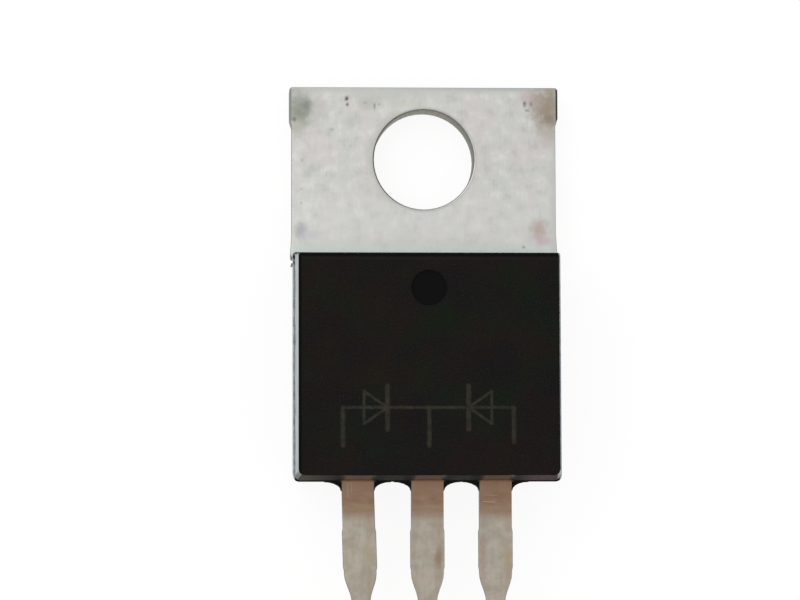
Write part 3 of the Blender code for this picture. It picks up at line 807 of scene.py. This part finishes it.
# End walls of the moulding: brownish at the leads' end, with a paler painted reflection near both
# its corners
above_leads_z = (parting_z - 0.35, parting_z + 0.05)
lead_end_y = (1.0, 0.0)
end_noise = (1.2, 4.0, 0.6)
end_shares = (0.4, 1.0)
end_lead_reach = 1.35
end_lead_edge = (0.35, 0.0)
left_to_right_x = (-0.4, 0.4)
right_corner_x = (3.1, 4.0)
left_corner_x = (-3.6, -4.9)
left_corner_painted_reflection = linear(128, 114, 96)
right_corner_painted_reflection = linear(126, 94, 96)
corner_painted_reflection_share = 0.30
end_specular = 0.11
end_roughness = 0.78
end_polished_roughness = 0.15
end_polished_reach = 0.85
end_polished_edge = (0.0, 0.5)
end_relief = 0.002


def moulding_ends():
    """Brownish end walls, duller than the sides, but polished where a lead comes out."""
    material, graph, shader = new_material("epoxy_moulding_ends")
    place = graph.place()
    x, y, z = graph.split(place)
    above_leads = graph.ramp(z, *above_leads_z)
    at_lead_end = graph.times(graph.ramp(y, *lead_end_y), above_leads)
    uneven = graph.spread(graph.noise(place, *end_noise), *end_shares)
    between_leads = graph.ramp(by_leads(graph, x, end_lead_reach), *end_lead_edge)
    away_from_leads = graph.times(between_leads, at_lead_end)
    rightness = graph.ramp(x, *left_to_right_x)
    end_colour = graph.mix(left_end_colour, right_end_colour, rightness)
    end_share = graph.times(away_from_leads, uneven)
    base = graph.mix(compound_base(graph, place), end_colour, end_share)
    # Painted reflection: paler tints near both corners of the wall at the leads' end
    near_right = graph.ramp(x, *right_corner_x)
    near_left = graph.ramp(x, *left_corner_x)
    at_corner = graph.times(graph.math("MAXIMUM", near_right, near_left), at_lead_end)
    corner_painted_reflection = graph.mix(left_corner_painted_reflection, right_corner_painted_reflection, rightness)
    base = graph.mix(base, corner_painted_reflection, graph.times(at_corner, corner_painted_reflection_share))
    graph.feed(shader.inputs["Base Color"], base)
    shader.inputs["Specular IOR Level"].default_value = end_specular
    over_leads = graph.ramp(by_leads(graph, x, end_polished_reach), *end_polished_edge)
    polished = graph.times(over_leads, at_lead_end)
    roughness = graph.blend(end_roughness, end_polished_roughness, polished)
    graph.feed(shader.inputs["Roughness"], roughness)
    relief = graph.noise(place, *wall_grain_noise)
    graph.feed(shader.inputs["Normal"], graph.bump(relief, end_relief))
    return material


# Hidden pieces: colours, grain, roughness and relief
solder_colours = (linear(150, 150, 154), linear(186, 186, 188))
solder_roughness = (0.32, 0.48)
solder_grain_noise = (6.0, 4.0, 0.6)
wire_colours = (linear(196, 197, 198), linear(222, 222, 224))
wire_roughness = (0.22, 0.38)
wire_grain_noise = (20.0, 4.0, 0.6)
hidden_metal_relief = 0.003
sawn_colours = (linear(86, 88, 98), linear(120, 122, 132))
saw_noise = ((3.0, 3.0, 60.0), 3.0)
pad_colours = (linear(188, 190, 192), linear(214, 215, 216))
pad_noise = (14.0, 4.0, 0.6)
pad_facing = (0.5, 0.9)
silicon_roughness = (0.25, 0.4)
silicon_relief = 0.002


def plain_metal(name, colours, roughness, grain_noise):
    """Cast or drawn metal of the hidden pieces, with a mottled grain."""
    material, graph, shader = new_material(name)
    mottle = graph.noise(graph.place(), *grain_noise)
    graph.feed(shader.inputs["Base Color"], graph.mix(*colours, graph.spread(mottle)))
    graph.feed(shader.inputs["Roughness"], graph.spread(mottle, *roughness))
    graph.feed(shader.inputs["Normal"], graph.bump(mottle, hidden_metal_relief))
    shader.inputs["Metallic"].default_value = 1.0
    return material


def silicon():
    """Sawn silicon with a bright metal pad on top."""
    material, graph, shader = new_material("silicon_finish")
    place = graph.place()
    upright = graph.split(graph.facing())["Z"]
    saw = graph.spread(graph.noise(place, *saw_noise))
    sawn = graph.mix(*sawn_colours, saw)
    pad = graph.mix(*pad_colours, graph.spread(graph.noise(place, *pad_noise)))
    colour = graph.mix(sawn, pad, graph.ramp(upright, *pad_facing))
    graph.feed(shader.inputs["Base Color"], colour)
    graph.feed(shader.inputs["Roughness"], graph.spread(saw, *silicon_roughness))
    graph.feed(shader.inputs["Normal"], graph.bump(saw, silicon_relief))
    shader.inputs["Metallic"].default_value = 1.0
    return material


def clean_faces(bm):
    """Join the triangles of each flat face."""
    bmesh.ops.remove_doubles(bm, verts=bm.verts, dist=weld_distance)
    bmesh.ops.dissolve_limit(bm, angle_limit=flat_angle, verts=bm.verts, edges=bm.edges)
    bmesh.ops.recalc_face_normals(bm, faces=bm.faces)


def side_of(normal):
    """0 for a face that looks up or down, 1 for one to the left or right, 2 for an end."""
    if abs(normal.z) > facing_share:
        return 0
    return 1 if abs(normal.x) > facing_share else 2


def refined_copy(node_name, name, materials, edge_round):
    """Copy of a CAD node with clean faces and finely rounded edges, which stands for it.

    The materials are for the faces that look up or down and the rounded edges, then for the
    left and right walls, then for the end walls; one material is for all of them.
    """
    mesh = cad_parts[node_name].data.copy()
    mesh.name = name
    bm = bmesh.new()
    bm.from_mesh(mesh)
    clean_faces(bm)
    bm.to_mesh(mesh)
    bm.free()
    mesh.materials.clear()
    for material in materials:
        mesh.materials.append(material)
    for face in mesh.polygons:
        face.material_index = min(side_of(face.normal), len(materials) - 1)
    mesh.shade_smooth()
    piece = bpy.data.objects.new(name, mesh)
    bpy.context.scene.collection.objects.link(piece)
    bevel = piece.modifiers.new("edge_round", "BEVEL")
    bevel.width = edge_round
    bevel.segments = edge_segments
    bevel.limit_method = "ANGLE"
    bevel.angle_limit = round_angle
    bevel.material = 0
    weighted = piece.modifiers.new("flat_face_normals", "WEIGHTED_NORMAL")
    weighted.mode = "FACE_AREA"
    weighted.weight = flat_face_weight
    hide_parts(node_name)
    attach(piece, "root")


def dress(node_name, material):
    """Give a CAD node that keeps its mesh a better material."""
    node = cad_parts[node_name]
    node.data.materials.clear()
    node.data.materials.append(material)


# Floor: what the camera sees of it is white, and what the part reflects is slightly cool
floor_half_size = 0.5
floor_tones = ((0.80, 0.80, 0.79, 1.0), (0.84, 0.84, 0.83, 1.0))
floor_noise = (0.8, 5.0, 0.6)
white = (1.0, 1.0, 1.0, 1.0)
reflected_floor_colour = (0.93, 0.985, 1.0, 1.0)
floor_glow_strength = 1.05
floor_glow_share = 0.86

# Surroundings: light from the horizon and from overhead, and how high overhead begins
horizon_light = 0.45
overhead_light = 0.92
overhead_height = 0.9

# Key lamp, in metres and watts
key_light_place = (-0.16, 0.13, 0.26)
key_light_size = 0.26
key_light_power = 0.28


def add_floor():
    """Pale floor that shows as white and keeps a soft shadow."""
    material = bpy.data.materials.new("pale_floor")
    material.use_nodes = True
    graph = Graph(material.node_tree)
    material.node_tree.nodes.remove(material.node_tree.nodes["Principled BSDF"])
    colour = graph.mix(*floor_tones, graph.noise(graph.place(), *floor_noise))
    diffuse = graph.put("ShaderNodeBsdfDiffuse", {"Color": colour})
    path = graph.put("ShaderNodeLightPath").outputs
    glow_colour = graph.mix(white, reflected_floor_colour, path["Is Glossy Ray"])
    glow = graph.put("ShaderNodeEmission", {
        "Color": glow_colour, "Strength": floor_glow_strength,
    })
    seen = graph.math("MAXIMUM", path["Is Camera Ray"], path["Is Glossy Ray"])
    seen = graph.math("MAXIMUM", seen, path["Is Transmission Ray"])
    surface = graph.put("ShaderNodeMixShader", {
        0: graph.times(seen, floor_glow_share), 1: diffuse.outputs[0], 2: glow.outputs[0],
    })
    output = material.node_tree.nodes["Material Output"]
    graph.links.new(surface.outputs[0], output.inputs["Surface"])
    half = floor_half_size
    mesh = bpy.data.meshes.new("floor")
    corners = [(-half, -half, 0.0), (half, -half, 0.0), (half, half, 0.0), (-half, half, 0.0)]
    mesh.from_pydata(corners, [], [(0, 1, 2, 3)])
    mesh.materials.append(material)
    floor = bpy.data.objects.new("floor", mesh)
    bpy.context.scene.collection.objects.link(floor)


def add_key_light():
    """Soft square lamp aimed at the part."""
    data = bpy.data.lights.new("key_light", "AREA")
    data.size = key_light_size
    data.energy = key_light_power
    lamp = bpy.data.objects.new("key_light", data)
    lamp.location = key_light_place
    lamp.rotation_euler = (-Vector(key_light_place)).to_track_quat("-Z", "Y").to_euler()
    bpy.context.scene.collection.objects.link(lamp)


def add_world():
    """White surroundings, a little dimmer towards the horizon."""
    world = bpy.data.worlds.new("studio")
    world.use_nodes = True
    bpy.context.scene.world = world
    graph = Graph(world.node_tree)
    background = world.node_tree.nodes["Background"]
    direction = graph.put("ShaderNodeTexCoord").outputs["Generated"]
    height = graph.split(direction)["Z"]
    light = graph.ramp(height, 0.0, overhead_height, horizon_light, overhead_light)
    is_seen = graph.put("ShaderNodeLightPath").outputs["Is Camera Ray"]
    graph.feed(background.inputs["Strength"], graph.blend(light, 1.0, is_seen))
    background.inputs["Color"].default_value = white


def add_camera():
    """Camera at the photograph's place and angle."""
    data = bpy.data.cameras.new("camera")
    data.sensor_width = sensor_width
    data.lens = focal_length_px * sensor_width / image_width_px
    data.clip_start = camera_clip_start
    camera = bpy.data.objects.new("camera", data)
    turn = (
        Matrix.Rotation(camera_yaw, 4, "Y")
        @ Matrix.Rotation(camera_pitch, 4, "X")
        @ Matrix.Rotation(camera_roll, 4, "Z")
    )
    camera.matrix_world = Matrix.Translation(camera_place) @ turn
    bpy.context.scene.collection.objects.link(camera)
    bpy.context.scene.camera = camera


def main():
    """Dress every piece and set the stage."""
    tin = [tinned_copper()]
    epoxy = [moulding_front(), moulding_sides(), moulding_ends()]
    refined_copy("tab_lead_frame", "tab_and_middle_lead", tin, metal_edge_round)
    refined_copy("anode_lead_1", "left_lead", tin, metal_edge_round)
    refined_copy("anode_lead_2", "right_lead", tin, metal_edge_round)
    refined_copy("moulded_body", "moulding", epoxy, moulding_edge_round)

    solder = plain_metal("solder_finish", solder_colours, solder_roughness, solder_grain_noise)
    wire = plain_metal("wire_finish", wire_colours, wire_roughness, wire_grain_noise)
    die = silicon()
    for number in (1, 2):
        dress(f"die_solder_{number}", solder)
        dress(f"schottky_die_{number}", die)
        for letter in ("a", "b"):
            dress(f"bond_wire_{number}{letter}", wire)

    add_floor()
    add_world()
    add_key_light()
    add_camera()
    bpy.context.scene.view_settings.view_transform = "Standard"


main()
